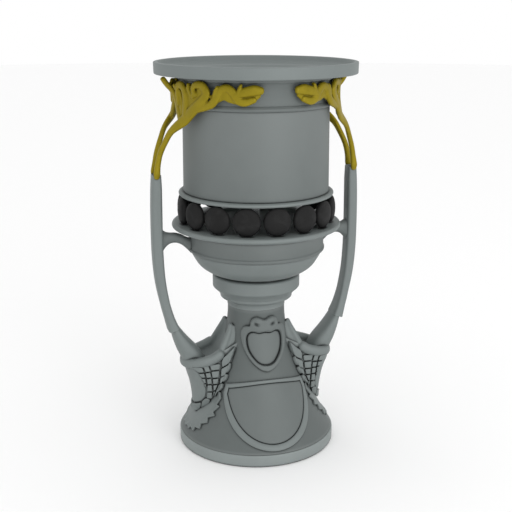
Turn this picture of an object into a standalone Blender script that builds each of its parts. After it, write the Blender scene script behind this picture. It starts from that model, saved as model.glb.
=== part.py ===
# Cup trophy: a flared base with shields, crests and winged consoles, two strap handles,
# a ring of stone discs, and an open cup with gilded ornaments, all on one tie rod.
# Sizes are in millimetres and turn into metres when a mesh is made.
# The front is -Y, the handles stand on the X axis, and the felt rests on z = 0.
import math

import bmesh
import bpy
import numpy as np
from mathutils import Vector

MM = 0.001
GAP = 0.3             # clearance left between pieces that touch
FACETS = 32           # facets round a turned piece

# Heights of the stack, from the felt up
HEIGHT = 500.0
PLINTH_TOP = 15.8
SHELL_TOP = 187.0
COLLAR_TOP = 228.7
BOWL_TOP = 261.7
DRUM_TOP = 286.7
FLANGE_TOP = 298.6
FOOT_BOTTOM = 333.8
FOOT_TOP = 339.0
BODY_TOP = 445.7
NECK_TOP = 485.0

# Radii
PLINTH_RADIUS = 103.0
SKIRT_RADIUS = 101.6
STEM_RADIUS = 37.2
DRUM_RADIUS = 87.0
FLANGE_RADIUS = 108.4
FOOT_RADIUS = 98.7
BODY_RADIUS = 92.0
RIM_RADIUS = 126.8
ROD_RADIUS = 5.0
ROD_HOLE = ROD_RADIUS + GAP

# Stone discs
DISC_COUNT = 16
DISC_RADIUS = 17.3
DISC_HALF_THICKNESS = 5.5
DISC_RING_RADIUS = 95.0

# Handles
SOCKET_TOP = 358.0
STRAP_END = 160.5
STRUT_WIDTH = 12.0

# Relief on the base: the first clears the facets of the skirt
RELIEF_INNER = 1.2
SHIELD_HALF_ANGLE = 54.0
SHIELD_BOTTOM = 19.5
SHIELD_WIDEST = 80.0
SHIELD_BAR_MIDDLE = 96.0
SHIELD_BAR_END = 87.0
CREST_BOTTOM = 108.0
CREST_TOP = 166.0
CREST_HALF_ANGLE = 38.0


# Materials
def make_material(name, color, roughness, metallic):
    material = bpy.data.materials.new(name)
    material.use_nodes = True
    shader = material.node_tree.nodes["Principled BSDF"]
    shader.inputs["Base Color"].default_value = (*color, 1.0)
    shader.inputs["Roughness"].default_value = roughness
    shader.inputs["Metallic"].default_value = metallic
    material.diffuse_color = (*color, 1.0)
    return material


def silver(name, shade=0.22):
    return make_material(name, (shade, shade * 1.04, shade * 1.04), 0.55, 0.35)


def gilt(name):
    return make_material(name, (0.35, 0.27, 0.035), 0.5, 0.35)


# Shape tools
def make_object(name, bm, material, sharp_angle=35.0):
    bmesh.ops.recalc_face_normals(bm, faces=bm.faces)
    mesh = bpy.data.meshes.new(name)
    bm.to_mesh(mesh)
    bm.free()
    mesh.materials.append(material)
    mesh.shade_smooth()
    mesh.set_sharp_from_angle(angle=math.radians(sharp_angle))
    piece = bpy.data.objects.new(name, mesh)
    bpy.context.scene.collection.objects.link(piece)
    return piece


def turned(name, outline, material, facets=FACETS):
    # A closed outline of (radius, height) points, turned round the Z axis.
    bm = bmesh.new()
    verts = [bm.verts.new((r * MM, 0.0, z * MM)) for r, z in outline]
    edges = [bm.edges.new(ends) for ends in zip(verts, verts[1:] + verts[:1])]
    bmesh.ops.spin(bm, geom=verts + edges, cent=(0, 0, 0), axis=(0, 0, 1),
                   angle=2 * math.pi, steps=facets, use_merge=True)
    return make_object(name, bm, material)


def solid_disc(name, radius, low, high, material):
    bm = bmesh.new()
    bmesh.ops.create_cone(bm, cap_ends=True, segments=FACETS, radius1=radius * MM,
                          radius2=radius * MM, depth=(high - low) * MM)
    bmesh.ops.translate(bm, verts=bm.verts, vec=(0, 0, (low + high) / 2 * MM))
    return make_object(name, bm, material)


def smooth_path(points, count):
    # Catmull-Rom curve through the points, read at even steps.
    points = [Vector(p) for p in points]
    padded = [2 * points[0] - points[1]] + points + [2 * points[-1] - points[-2]]
    path = []
    for step in range(count + 1):
        place = step / count * (len(points) - 1)
        first = min(int(place), len(points) - 2)
        t = place - first
        a, b, c, d = padded[first:first + 4]
        path.append(0.5 * (2 * b + (c - a) * t + (2 * a - 5 * b + 4 * c - d) * t ** 2
                           + (3 * b - a - 3 * c + d) * t ** 3))
    return path


def spread(values, count):
    # The values as a smooth run of count + 1 numbers.
    return np.interp(np.linspace(0, len(values) - 1, count + 1), range(len(values)), values)


def lofted(name, rings, material, closed=False, sharp_angle=35.0):
    # Rings of equal length joined one to the next, with flat ends unless closed.
    bm = bmesh.new()
    loops = [[bm.verts.new(Vector(p) * MM) for p in ring] for ring in rings]
    pairs = list(zip(loops, loops[1:] + loops[:1])) if closed else list(zip(loops, loops[1:]))
    for near, far in pairs:
        for i in range(len(near)):
            j = (i + 1) % len(near)
            bm.faces.new((near[i], near[j], far[j], far[i]))
    if not closed:
        bm.faces.new(loops[0])
        bm.faces.new(loops[-1])
    return make_object(name, bm, material, sharp_angle)


def swept(name, path, half_widths, half_depths, normals, material, closed=False, sides=8):
    # An oval bar along the path. The depth lies along the normals and the width across them.
    rings = []
    for i, point in enumerate(path):
        before = path[i - 1] if closed or i > 0 else point
        after = path[(i + 1) % len(path)] if closed or i < len(path) - 1 else point
        along = (after - before).normalized()
        normal = normals[i] - normals[i].dot(along) * along
        normal.normalize()
        across = along.cross(normal)
        ring = []
        for k in range(sides):
            turn = 2 * math.pi * (k + 0.5) / sides
            ring.append(point + across * half_widths[i] * math.cos(turn)
                        + normal * half_depths[i] * math.sin(turn))
        rings.append(ring)
    return lofted(name, rings, material, closed, sharp_angle=60.0)


def fused(name, pieces):
    # Boolean union of overlapping pieces into one body.
    body = pieces[0]
    for other in pieces[1:]:
        union = body.modifiers.new("union", "BOOLEAN")
        union.operation = "UNION"
        union.solver = "EXACT"
        union.object = other
    bpy.context.view_layer.update()
    evaluated = body.evaluated_get(bpy.context.evaluated_depsgraph_get())
    mesh = bpy.data.meshes.new_from_object(evaluated)
    material = body.data.materials[0]
    for piece in pieces:
        bpy.data.objects.remove(piece)
    bm = bmesh.new()
    bm.from_mesh(mesh)
    bmesh.ops.remove_doubles(bm, verts=bm.verts, dist=0.05 * MM)
    bmesh.ops.dissolve_degenerate(bm, edges=bm.edges, dist=0.02 * MM)
    bmesh.ops.triangulate(bm, faces=bm.faces)
    return make_object(name, bm, material)


def on_cylinder(radius, angle, z):
    # Angle in degrees from the front, towards +X.
    turn = math.radians(angle)
    return Vector((radius * math.sin(turn), -radius * math.cos(turn), z))


def facing(angle):
    return on_cylinder(1.0, angle, 0.0)


def mirrored(vector, side, face):
    # side is +1 for right and -1 for left, face is +1 for front and -1 for back.
    return Vector((vector.x * side, vector.y * face, vector.z))


def skirt_radius(z):
    # The skirt flares from the stem to the plinth as a power of the height.
    flare_top = 182.0
    if z >= flare_top:
        return STEM_RADIUS
    share = (flare_top - z) / (flare_top - PLINTH_TOP)
    return STEM_RADIUS + (SKIRT_RADIUS - STEM_RADIUS) * share ** 1.7


def close_plate(bm, layers):
    # Faces over both layers of rows and round their edge.
    for layer in layers:
        for low, high in zip(layer, layer[1:]):
            for i in range(len(low) - 1):
                bm.faces.new((low[i], low[i + 1], high[i + 1], high[i]))
    edges = []
    for layer in layers:
        right = [row[-1] for row in layer[1:-1]]
        left = [row[0] for row in layer[1:-1]]
        edges.append(layer[0] + right + layer[-1][::-1] + left[::-1])
    for i in range(len(edges[0])):
        j = (i + 1) % len(edges[0])
        bm.faces.new((edges[0][i], edges[0][j], edges[1][j], edges[1][i]))


def plate_on_skirt(name, rows, inner, outer, material, turn=0.0):
    # A plate of (angle, height) rows that wraps the skirt, from inner to outer above it.
    bm = bmesh.new()
    layers = []
    for lift in (inner, outer):
        layers.append([[bm.verts.new(on_cylinder(skirt_radius(z) + lift, angle + turn, z) * MM)
                        for angle, z in row] for row in rows])
    close_plate(bm, layers)
    return make_object(name, bm, material)


# Base
def base_outline():
    wall = 3.0
    heights = np.linspace(PLINTH_TOP + GAP, 182.0, 10)
    outer = [(skirt_radius(z), z) for z in heights] + [(STEM_RADIUS, SHELL_TOP)]
    inner = [(skirt_radius(z) - wall, z) for z in heights if z < 170.0]
    return outer + [(ROD_HOLE, SHELL_TOP), (ROD_HOLE, SHELL_TOP - 5), (30.0, SHELL_TOP - 5)] + inner[::-1]


def make_base():
    pad_radius = 95.5
    pad_top = 2.0
    weight_top = 13.5
    band_inner = pad_radius + 0.5
    felt = make_material("green_felt", (0.02, 0.06, 0.03), 0.95, 0.0)
    solid_disc("felt_pad", pad_radius, 0.0, pad_top, felt)
    iron = make_material("cast_iron", (0.05, 0.05, 0.05), 0.7, 0.8)
    turned("base_weight", [(ROD_HOLE, pad_top + GAP), (pad_radius, pad_top + GAP),
                           (pad_radius, weight_top), (ROD_HOLE, weight_top)], iron)
    turned("plinth_band", [(band_inner, 0.5), (PLINTH_RADIUS - 0.6, 0.5), (PLINTH_RADIUS, 1.1),
                           (PLINTH_RADIUS, PLINTH_TOP - 0.8), (PLINTH_RADIUS - 0.8, PLINTH_TOP),
                           (band_inner, PLINTH_TOP)], silver("silver_plinth"))
    turned("base_shell", base_outline(), silver("silver_base"))


def shield_half_angle(z, inset):
    # The U below the bar is half an oval.
    if z >= SHIELD_WIDEST:
        share = 0.0
    else:
        share = min(1.0, (SHIELD_WIDEST - z) / (SHIELD_WIDEST - SHIELD_BOTTOM - inset))
    return (SHIELD_HALF_ANGLE - math.degrees(inset / skirt_radius(z))) * math.sqrt(1 - share ** 2)


def shield_loop(inset):
    # The shield's edge moved in by inset: the U from left to right, then back over the bar.
    points = []
    for step in range(-8, 9):
        turn = math.radians(90) * step / 8
        z = SHIELD_WIDEST - (SHIELD_WIDEST - SHIELD_BOTTOM - inset) * math.cos(turn)
        points.append((math.copysign(shield_half_angle(z, inset), step), z))
    half = points[-1][0]
    for share in np.linspace(1.0, -1.0, 12):
        bow = (SHIELD_BAR_MIDDLE - SHIELD_BAR_END) * math.cos(math.radians(90) * share)
        points.append((half * share, SHIELD_BAR_END - inset + bow))
    return points


def shield_rows(inset):
    # Rows of points that fill the shield inside its frame.
    low = SHIELD_BOTTOM + inset + 1.5
    high = SHIELD_BAR_END - inset
    rows = []
    for share in np.linspace(0.0, 1.0, 7):
        z = low + (high - low) * share
        half = shield_half_angle(z, inset)
        bow = (SHIELD_BAR_MIDDLE - SHIELD_BAR_END) * share
        rows.append([(half * x, z + bow * math.cos(math.pi / 2 * x)) for x in np.linspace(-1, 1, 11)])
    return rows


def make_shields():
    bead = 2.7
    loop = shield_loop(bead)
    rows = shield_rows(2 * bead + 1.4)
    for label, turn in (("front", 0.0), ("back", 180.0)):
        path = [on_cylinder(skirt_radius(z) + RELIEF_INNER + 1.9, angle + turn, z) for angle, z in loop]
        normals = [facing(angle + turn) + Vector((0, 0, 0.6)) for angle, z in loop]
        count = len(path)
        swept(f"{label}_shield_frame", path, [bead] * count, [1.7] * count, normals,
              silver("silver_shield_frame", 0.25), closed=True, sides=6)
        plate_on_skirt(f"{label}_shield_panel", rows, RELIEF_INNER + 0.4, RELIEF_INNER + 2.0,
                       silver("silver_shield_panel"), turn)


def crest_half_angle(z):
    # Rounded shoulders above, a blunt point below.
    widest = 152.0
    if z > widest:
        return CREST_HALF_ANGLE * (1 - 0.55 * ((z - widest) / (CREST_TOP - widest)) ** 2.5)
    share = (widest - z) / (widest - CREST_BOTTOM)
    return CREST_HALF_ANGLE * math.sqrt(max(0.0, 1 - share ** 2.3))


def make_crests():
    bead = 2.2
    side = [(crest_half_angle(z) - 3.0, z) for z in np.linspace(CREST_BOTTOM + 3.5, CREST_TOP - bead, 9)]
    loop = [(0.0, CREST_BOTTOM + bead)] + side + [(0.0, CREST_TOP + 1.0)] + [(-a, z) for a, z in side[::-1]]
    rows = []
    for z in np.linspace(CREST_BOTTOM + 10.0, CREST_TOP - 8.0, 6):
        half = crest_half_angle(z) - 9.0
        rows.append([(half * x, z) for x in np.linspace(-1, 1, 9)])
    for label, turn in (("front", 0.0), ("back", 180.0)):
        path = [on_cylinder(skirt_radius(z) + RELIEF_INNER + 1.9, a + turn, z) for a, z in loop]
        normals = [facing(a + turn) + Vector((0, 0, 0.3)) for a, z in loop]
        count = len(path)
        swept(f"{label}_crest_frame", path, [bead] * count, [1.7] * count, normals,
              silver("silver_crest_frame", 0.25), closed=True, sides=6)
        plate_on_skirt(f"{label}_crest_panel", rows, RELIEF_INNER, RELIEF_INNER + 1.6,
                       silver("silver_crest_panel"), turn)


# Consoles
# Height, reach from the axis and half width of the console at each level
CONSOLE_LEVELS = [(50.0, 86.0, 14.0), (58.0, 86.2, 21.0), (70.0, 86.8, 26.5), (84.0, 89.0, 28.0),
                  (96.0, 92.5, 28.0), (107.0, 97.5, 27.0)]
CONSOLE_WALL = 3.5
CONSOLE_CORNER = 24.0


def console_plan(z):
    # Where the console's side starts on the skirt, where it starts to bend, its reach and half width.
    heights, reaches, halves = zip(*CONSOLE_LEVELS)
    reach = float(np.interp(z, heights, reaches))
    half = float(np.interp(z, heights, halves))
    root = math.sqrt((skirt_radius(z) + 1.2) ** 2 - half ** 2) + 1.0
    bend = reach - min(CONSOLE_CORNER, reach - root - 0.5)
    return root, bend, reach, half


def console_section(z):
    # A U in plan: out along one side, round the end and back along the other side.
    root, bend, reach, half = console_plan(z)
    lines = []
    for offset in (0.0, CONSOLE_WALL):
        line = [Vector((root, offset - half, z))]
        for step in range(9):
            turn = math.radians(-90 + 180 * step / 8)
            line.append(Vector((bend + (reach - bend - offset) * math.cos(turn),
                                (half - offset) * math.sin(turn), z)))
        line.append(Vector((root, half - offset, z)))
        lines.append(line)
    ring = lines[0] + lines[1][::-1]
    rise = 0.3 * max(0.0, z - 80.0) / 27.0
    for point in ring:
        point.z += rise * max(0.0, reach - point.x)
    return ring


def make_console(label, side):
    rings = [[mirrored(p, side, 1) for p in console_section(level[0])] for level in CONSOLE_LEVELS]
    bm = bmesh.new()
    loops = [[bm.verts.new(p * MM) for p in ring] for ring in rings]
    count = len(loops[0])
    for near, far in zip(loops, loops[1:]):
        for i in range(count):
            j = (i + 1) % count
            bm.faces.new((near[i], near[j], far[j], far[i]))
    for loop in (loops[0], loops[-1]):
        for i in range(count // 2 - 1):
            bm.faces.new((loop[i], loop[i + 1], loop[count - 2 - i], loop[count - 1 - i]))
    make_object(f"{label}_console", bm, silver("silver_console"))


def beside_console(x, z, lift):
    # A point above the console's side or the skirt, whichever stands out further.
    root, bend, reach, half = console_plan(z)
    along = max(0.0, x - bend) / (reach - bend)
    y = half * math.sqrt(1 - along ** 2)
    normal = Vector((along / (reach - bend), y / half ** 2, 0)).normalized()
    skirt = skirt_radius(z) + RELIEF_INNER
    if x < skirt and math.sqrt(skirt ** 2 - x ** 2) > y + GAP:
        y = math.sqrt(skirt ** 2 - x ** 2)
        normal = Vector((0, 1, 0))
    else:
        y += GAP
    point = Vector((x, y, z)) + normal * lift
    return Vector((point.x, -point.y, point.z))


def make_wing(label, side, face):
    # A feathered plate beside the console: rows from its tips on the skirt to its rounded end.
    tips = [(72.0, 60.0), (66.0, 71.0), (58.5, 79.0), (52.5, 86.5), (47.5, 94.0), (45.0, 101.8),
            (43.0, 109.0), (41.7, 115.2), (38.5, 126.0), (36.5, 137.0)]
    ends = [(77.0, 60.0), (77.0, 66.0), (77.0, 72.0), (77.0, 78.0), (77.0, 84.0), (77.0, 90.0),
            (77.5, 96.0), (78.5, 101.0), (79.5, 105.0), (80.0, 108.5)]
    clearance = 0.8
    thickness = 2.4
    columns = 6
    bm = bmesh.new()
    layers = []
    for lift in (clearance, clearance + thickness):
        layer = []
        for tip, end in zip(tips, ends):
            row = [Vector(tip).lerp(Vector(end), step / columns) for step in range(columns + 1)]
            points = [mirrored(beside_console(p.x, p.y, lift), side, face) for p in row]
            layer.append([bm.verts.new(p * MM) for p in points])
        layers.append(layer)
    close_plate(bm, layers)
    make_object(f"{label}_wing", bm, silver("silver_wing", 0.25))


def make_shelf(label, side):
    # A roll that runs down the stem as a fin, round the console's top edge and up again.
    front = [(39.3, -18.2, 163.0), (46.0, -22.5, 147.0), (56.0, -26.5, 131.5), (75.0, -26.5, 124.0),
             (92.0, -17.0, 117.5), (97.0, 0.0, 115.0)]
    points = front + [(x, -y, z) for x, y, z in front[-2::-1]]
    count = 28
    path = [mirrored(p, side, 1) for p in smooth_path(points, count)]
    size = spread([2.2, 3.2, 5.0, 5.6, 5.6, 5.6, 5.6, 5.6, 5.0, 3.2, 2.2], count)
    up = [Vector((0, 0, 1)) + 0.001 * p for p in path]
    swept(f"{label}_shelf", path, size, size, up, silver("silver_shelf", 0.24))


def make_leaf(label, side):
    # The serrated leaf below the console lies on the skirt, widest under the wings.
    rows = []
    for step in range(9):
        share = step / 8
        z = 20.0 + 26.0 * share
        half = 6.0 + 22.0 * share ** 0.8 + (1.6 if step % 2 else 0.0)
        rows.append([(half * x, z) for x in np.linspace(-1, 1, 9)])
    plate_on_skirt(f"{label}_leaf", rows, RELIEF_INNER, RELIEF_INNER + 1.8,
                   silver("silver_leaf", 0.25), 90.0 * side)


# Stem and stack
def make_stack():
    turned("collar", [(ROD_HOLE, SHELL_TOP + GAP), (37.6, SHELL_TOP + GAP), (37.6, 193.0), (40.6, 196.2),
                      (46.9, 198.4), (46.9, 201.4), (50.5, 206.6), (56.7, 212.0), (56.7, 226.6),
                      (55.4, COLLAR_TOP), (ROD_HOLE, COLLAR_TOP)], silver("silver_collar"))
    turned("lower_bowl", [(ROD_HOLE, COLLAR_TOP + GAP), (50.0, COLLAR_TOP + GAP), (50.0, 232.9),
                          (60.5, 232.9), (65.5, 236.0), (70.4, 239.4), (76.5, 245.6), (80.2, 251.7),
                          (83.6, 257.6), (84.4, BOWL_TOP), (79.0, BOWL_TOP), (76.2, 252.5), (69.0, 243.0),
                          (60.0, 237.8), (ROD_HOLE, 236.5)], silver("silver_bowl"))
    turned("drum", [(80.0, BOWL_TOP + GAP), (86.6, BOWL_TOP + GAP), (88.0, 263.4), (88.0, 266.0),
                    (DRUM_RADIUS, 267.6), (DRUM_RADIUS, DRUM_TOP), (80.0, DRUM_TOP)],
           silver("silver_drum", 0.2))
    turned("flange", [(ROD_HOLE, 290.6), (79.0, 290.6), (79.0, DRUM_TOP + GAP), (88.0, DRUM_TOP + GAP),
                      (97.0, 289.2), (104.5, 291.8), (107.6, 293.2), (FLANGE_RADIUS, 295.6),
                      (107.4, 297.8), (105.0, FLANGE_TOP), (80.0, FLANGE_TOP), (76.0, 295.0),
                      (ROD_HOLE, 295.0)], silver("silver_flange"))
    turned("cup_foot", [(ROD_HOLE, FOOT_BOTTOM), (97.6, FOOT_BOTTOM), (FOOT_RADIUS, 335.2),
                        (FOOT_RADIUS, 337.4), (96.8, FOOT_TOP), (ROD_HOLE, FOOT_TOP)],
           silver("silver_cup_foot"))
    wall = 3.0
    floor = FOOT_TOP + 4.3
    inside = BODY_RADIUS - wall
    turned("cup_body", [(ROD_HOLE, FOOT_TOP + GAP), (BODY_RADIUS + 0.6, FOOT_TOP + GAP),
                        (BODY_RADIUS, BODY_TOP), (inside, BODY_TOP), (inside, 352.0), (82.0, floor),
                        (ROD_HOLE, floor)], silver("silver_body"))
    turned("cup_neck", [(inside, BODY_TOP + GAP), (93.4, BODY_TOP + GAP), (94.6, 448.8), (93.4, 451.6),
                        (92.4, 452.6), (92.4, 463.0), (94.0, 473.0), (96.8, 479.6), (99.2, 480.2),
                        (99.2, NECK_TOP), (BODY_RADIUS, NECK_TOP)], silver("silver_neck"))
    turned("rim", [(BODY_RADIUS, NECK_TOP + GAP), (125.8, NECK_TOP + GAP), (RIM_RADIUS, 486.4),
                   (RIM_RADIUS, HEIGHT - 1.0), (RIM_RADIUS - 1.0, HEIGHT), (122.4, HEIGHT),
                   (121.2, HEIGHT - 1.2), (119.0, 493.5), (112.0, 490.2), (BODY_RADIUS + 4.0, 488.8)],
           silver("silver_rim", 0.25))


def make_discs():
    onyx = make_material("black_stone", (0.02, 0.021, 0.021), 0.5, 0.0)
    middle = (FLANGE_TOP + FOOT_BOTTOM) / 2
    sides = 10
    rings = []
    for radius, offset in ((11.0, -1.0), (DISC_RADIUS, -0.4), (DISC_RADIUS, 0.4), (11.0, 1.0)):
        turns = [2 * math.pi * (k + 0.5) / sides for k in range(sides)]
        rings.append([Vector((radius * math.cos(turn), radius * math.sin(turn), offset * DISC_HALF_THICKNESS))
                      for turn in turns])
    for number in range(DISC_COUNT):
        angle = 360 / DISC_COUNT * number
        disc = lofted(f"stone_disc_{number + 1:02d}", rings, onyx, sharp_angle=60.0)
        disc.location = on_cylinder(DISC_RING_RADIUS, angle, middle) * MM
        disc.rotation_euler = (math.radians(90), 0.0, math.radians(angle))


def hexagon_nut(name, low, high, across, material):
    # Corners and the middles of the flats take turns round the outside.
    reach = [across / 2 / math.cos(math.radians(30)), across / 2]
    rings = []
    for z, bore in ((low, False), (high, False), (high, True), (low, True)):
        rings.append([on_cylinder(ROD_HOLE if bore else reach[k % 2], 30 * k, z) for k in range(12)])
    lofted(name, rings, material, closed=True)


def make_fixings():
    steel = make_material("plated_steel", (0.3, 0.3, 0.3), 0.4, 1.0)
    bm = bmesh.new()
    low, high = 2.8, 352.0
    bmesh.ops.create_cone(bm, cap_ends=True, segments=12, radius1=ROD_RADIUS * MM,
                          radius2=ROD_RADIUS * MM, depth=(high - low) * MM)
    bmesh.ops.translate(bm, verts=bm.verts, vec=(0, 0, (low + high) / 2 * MM))
    make_object("tie_rod", bm, steel)
    hexagon_nut("base_nut", 13.8, 21.8, 17.0, steel)
    hexagon_nut("cup_nut", 343.6, 351.0, 17.0, steel)


# Handles
def make_handle(label, side):
    arm = [(128.6, 0, SOCKET_TOP), (129.4, 0, 320), (129.6, 0, 285), (129.0, 0, 255), (126.6, 0, 225),
           (121.4, 0, 196), (115.9, 0, 176), (111.2, 0, STRAP_END)]
    count = 18
    path = [mirrored(p, side, 1) for p in smooth_path(arm, count)]
    outward = [Vector((1, 0, 0))] * (count + 1)
    half_widths = spread([10.8, 10.8, 10.8, 10.8, 10.8, 11.2, 13.0, 15.0], count)
    half_depths = spread([6.6, 7.1, 7.3, 7.2, 6.8, 6.1, 6.4, 7.6], count)
    swept(f"{label}_handle_arm", path, half_widths, half_depths, outward, silver("silver_handle", 0.27),
          sides=10)
    # Distance, height, half width and half depth: the foot swells, then steps in behind the shelf's roll
    foot = [(110.9, 159.8, 15.0, 7.5), (109.6, 156.0, 15.1, 7.8), (104.5, 148.0, 15.6, 9.2),
            (97.8, 137.0, 16.2, 10.8), (91.4, 128.0, 16.6, 10.8), (88.8, 124.8, 13.2, 5.6),
            (83.5, 116.0, 12.6, 5.0)]
    path = [mirrored(Vector((x, 0, z)), side, 1) for x, z, width, depth in foot]
    swept(f"{label}_handle_foot", path, [stop[2] for stop in foot], [stop[3] for stop in foot],
          outward[:len(foot)], silver("silver_handle_foot", 0.25), sides=12)


def make_strut(label, side):
    # Upright slices from the drum out to the handle: distance, middle height, half height.
    slices = [(88.9, 272.0, 8.6), (93.5, 275.5, 7.6), (99.0, 279.6, 6.6), (106.0, 281.8, 6.4),
              (112.0, 281.8, 7.0), (117.2, 280.6, 9.4), (121.8, 279.4, 14.6)]
    path = [mirrored(Vector((x, 0, z)), side, 1) for x, z, half in slices]
    rings = []
    for point, (x, z, half) in zip(path, slices):
        ring = []
        for k in range(8):
            turn = 2 * math.pi * (k + 0.5) / 8
            ring.append(point + Vector((0, STRUT_WIDTH / 2 * math.cos(turn), half * math.sin(turn))))
        rings.append(ring)
    lofted(f"{label}_strut", rings, silver("silver_strut"), sharp_angle=60.0)


# Gilded ornaments
def scroll(name, stops, widths, side, face, material, count, depth=2.9):
    # A flat band on the neck through (angle, height, radius) stops.
    points = [on_cylinder(radius, angle, z) for angle, z, radius in stops]
    path = smooth_path(points, count)
    normals = [Vector((p.x, p.y, 0)).normalized() for p in path]
    return swept(name, [mirrored(p, side, face) for p in path], spread(widths, count), [depth] * (count + 1),
                 [mirrored(n, side, face) for n in normals], material, sides=6)


def make_ornament(label, side, face):
    gold = gilt("gilt_ornament")
    strand = [(128.6, -6.2, SOCKET_TOP + GAP), (127.6, -7.4, 374), (124.6, -10.6, 391), (118.8, -16.0, 406),
              (111.8, -23.0, 420)]
    strand += [tuple(on_cylinder(radius, angle, z)) for angle, z, radius in
               ((70.0, 434.0, 105.2), (60.0, 449.0, 102.4), (52.0, 464.0, 101.4), (55.5, 474.0, 101.8),
                (61.0, 470.0, 102.0))]
    count = 18
    path = smooth_path(strand, count)
    normals = [Vector((p.x, p.y, 0)).normalized() for p in path]
    stem = swept("stem", [mirrored(p, side, face) for p in path],
                 spread([3.0, 3.2, 3.6, 4.2, 5.4, 6.0, 5.6, 5.2, 4.6, 3.8], count),
                 spread([4.4, 4.0, 3.6, 3.3, 3.1, 2.9, 2.9, 2.9, 2.9, 2.9], count),
                 [mirrored(n, side, face) for n in normals], gold, sides=6)
    leaf = scroll("leaf", [(73.0, 431.0, 106.4), (79.0, 446.0, 104.0), (82.0, 461.0, 104.4),
                           (83.5, 472.0, 110.0), (84.0, 479.5, 115.5)],
                  [4.4, 5.0, 4.6, 3.4, 1.6], side, face, gold, 8, 2.6)
    curl = scroll("curl", [(69.5, 437.0, 104.6), (70.0, 452.0, 101.8), (72.0, 466.0, 101.6),
                           (77.5, 473.0, 103.0)], [4.4, 4.6, 4.4, 3.4], side, face, gold, 7)
    wave = scroll("wave", [(57.0, 447.5, 101.6), (47.0, 455.0, 101.2), (42.0, 467.0, 101.2),
                           (35.0, 473.5, 101.2), (29.5, 466.0, 101.2), (25.0, 459.0, 101.2),
                           (18.5, 462.0, 101.2)],
                  [3.4, 5.0, 5.2, 5.4, 5.2, 5.0, 3.2], side, face, gold, 11)
    tip = scroll("tip", [(29.0, 466.0, 101.3), (19.0, 471.0, 101.3), (10.6, 472.0, 101.3)],
                 [3.0, 6.2, 3.4], side, face, gold, 6)
    fused(f"{label}_ornament", [stem, leaf, curl, wave, tip])


def clear_scene():
    for item in list(bpy.data.objects):
        bpy.data.objects.remove(item)


def main():
    clear_scene()
    make_base()
    make_shields()
    make_crests()
    make_stack()
    make_discs()
    make_fixings()
    for label, side in (("left", -1), ("right", 1)):
        make_console(label, side)
        make_shelf(label, side)
        make_leaf(label, side)
        make_handle(label, side)
        make_strut(label, side)
        for edge, face in (("front", 1), ("back", -1)):
            make_wing(f"{label}_{edge}", side, face)
            make_ornament(f"{label}_{edge}", side, face)


main()
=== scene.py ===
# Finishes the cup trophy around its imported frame: cast silver relief, gilded scrolls and black stones.
# Sizes are in millimetres and turn into metres when a mesh is made.
# The front is -Y, the handles stand on the X axis, and the felt rests on z = 0.
import math

import bmesh
import bpy
import numpy as np
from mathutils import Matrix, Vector


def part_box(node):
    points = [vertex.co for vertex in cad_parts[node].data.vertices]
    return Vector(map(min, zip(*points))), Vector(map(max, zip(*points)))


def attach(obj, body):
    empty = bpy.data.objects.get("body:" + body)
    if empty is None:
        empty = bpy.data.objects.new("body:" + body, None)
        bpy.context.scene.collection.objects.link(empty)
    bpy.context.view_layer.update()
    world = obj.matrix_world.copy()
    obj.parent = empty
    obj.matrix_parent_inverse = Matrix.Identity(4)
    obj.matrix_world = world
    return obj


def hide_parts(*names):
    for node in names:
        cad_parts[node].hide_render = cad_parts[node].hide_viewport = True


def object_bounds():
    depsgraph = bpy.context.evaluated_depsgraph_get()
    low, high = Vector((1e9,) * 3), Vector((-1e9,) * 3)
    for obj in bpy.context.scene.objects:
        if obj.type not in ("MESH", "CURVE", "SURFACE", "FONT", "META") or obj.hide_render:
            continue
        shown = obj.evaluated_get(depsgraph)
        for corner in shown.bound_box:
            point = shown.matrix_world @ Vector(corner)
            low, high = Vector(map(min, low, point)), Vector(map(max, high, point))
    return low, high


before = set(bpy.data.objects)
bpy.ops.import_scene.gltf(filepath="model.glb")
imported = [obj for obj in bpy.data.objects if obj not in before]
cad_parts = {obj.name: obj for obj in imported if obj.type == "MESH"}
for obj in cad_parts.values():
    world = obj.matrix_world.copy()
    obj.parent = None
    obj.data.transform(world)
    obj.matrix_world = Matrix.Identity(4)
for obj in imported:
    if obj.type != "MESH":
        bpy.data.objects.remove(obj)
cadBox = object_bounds()
mm = 0.001
print("frame loaded")


# What the tools below share
def hexColor(code):
    # sRGB hex to the linear colour that the shaders read
    channels = [int(code[i:i + 2], 16) / 255 for i in (0, 2, 4)]
    linear = [c / 12.92 if c <= 0.04045 else ((c + 0.055) / 1.055) ** 2.4 for c in channels]
    return (*linear, 1.0)


def addNode(tree, kind, values=None, links=None, **settings):
    # values fill sockets, links join other nodes' outputs to sockets, settings are the node's own
    node = tree.nodes.new(kind)
    for name, value in settings.items():
        setattr(node, name, value)
    for socket, value in (values or {}).items():
        node.inputs[socket].default_value = value
    for socket, source in (links or {}).items():
        tree.links.new(source, node.inputs[socket])
    return node


def newMaterial(name):
    material = bpy.data.materials.new(name)
    material.use_nodes = True
    return material, material.node_tree, material.node_tree.nodes["Principled BSDF"]


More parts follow.
